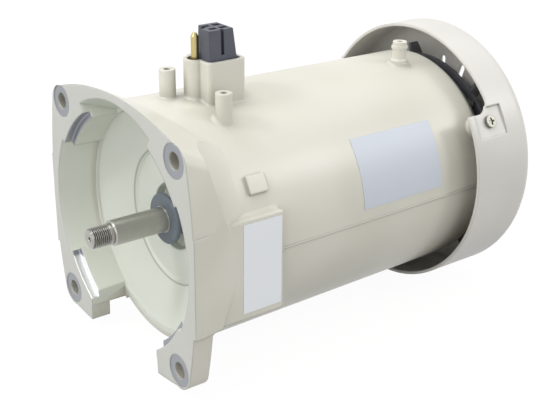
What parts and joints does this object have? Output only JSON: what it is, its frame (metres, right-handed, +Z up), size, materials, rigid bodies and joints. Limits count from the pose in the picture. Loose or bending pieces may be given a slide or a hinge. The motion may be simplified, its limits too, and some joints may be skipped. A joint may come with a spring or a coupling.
{
  "type": "pump motor",
  "caption": "Square-flange pool pump motor with a threaded shaft, a cream cast housing, a connector tower on top and a round fan cover behind.",
  "frame": {"origin": "centre of the mounting face on the shaft axis, midway between the four flange bolts", "axes": "+Z up, shaft along Y and pointing to -Y, +X towards the side with the labels"},
  "size_m": [0.1784, 0.2896, 0.2036],
  "materials": {
    "housing_paint": "satin cream paint on a die-cast aluminium housing, bare on the spot faces and the register",
    "cover_paint": "satin pale paint on a drawn steel cover",
    "bell_cast": "bare die-cast aluminium",
    "screw_steel": "zinc-plated steel screws",
    "bearing_steel": "ground bearing steel",
    "cage_steel": "pressed steel",
    "shaft_steel": "turned steel",
    "core_steel": "stacked electrical steel",
    "magnet": "coated magnet material, drawn as a dull dark solid",
    "end_plate": "machined aluminium",
    "winding": "enamelled copper wire under varnish",
    "seal_rubber": "dark rubber",
    "connector_plastic": "dark grey moulded plastic",
    "terminal_brass": "plain brass",
    "fan_plastic": "black moulded plastic",
    "standoff_nylon": "natural white plastic",
    "label_film": "blank pale label film"
  },
  "bodies": {
    "housing": {"motor_housing": "housing_paint", "rear_end_bell": "bell_cast", "end_bell_screws": "screw_steel", "fan_cover": "cover_paint", "fan_cover_screws": "screw_steel", "stator_core": "core_steel", "stator_windings": "winding", "front_bearing_outer_race": "bearing_steel", "rear_bearing_outer_race": "bearing_steel", "front_bearing_retainer": "cage_steel", "bearing_retainer_screws": "screw_steel", "rear_wave_spring": "cage_steel", "front_shaft_seal": "seal_rubber", "connector_body": "connector_plastic", "connector_terminals": "terminal_brass", "ground_pin": "terminal_brass", "rear_standoff": "standoff_nylon", "rating_label": "label_film", "side_label": "label_film"},
    "rotor": {"shaft": "shaft_steel", "rotor_core": "core_steel", "rotor_end_plates": "end_plate", "rotor_magnets": "magnet", "front_bearing_inner_race": "bearing_steel", "rear_bearing_inner_race": "bearing_steel", "shaft_slinger": "seal_rubber", "fan": "fan_plastic", "fan_retaining_ring": "cage_steel"},
    "front_balls": {"front_bearing_balls": "bearing_steel", "front_bearing_cage": "cage_steel"},
    "rear_balls": {"rear_bearing_balls": "bearing_steel", "rear_bearing_cage": "cage_steel"}
  },
  "joints": [
    {"name": "rotor_spin", "type": "hinge", "parent": "housing", "child": "rotor", "pos_m": [0, 0, 0], "axis": [0, 1, 0], "continuous": true},
    {"name": "front_cage_spin", "type": "hinge", "parent": "housing", "child": "front_balls", "pos_m": [0, 0.0565, 0], "axis": [0, 1, 0], "continuous": true},
    {"name": "rear_cage_spin", "type": "hinge", "parent": "housing", "child": "rear_balls", "pos_m": [0, 0.232, 0], "axis": [0, 1, 0], "continuous": true}
  ],
  "couplings": [
    {"joint": "front_cage_spin", "follows": "rotor_spin", "ratio": 0.397},
    {"joint": "rear_cage_spin", "follows": "rotor_spin", "ratio": 0.382}
  ]
}
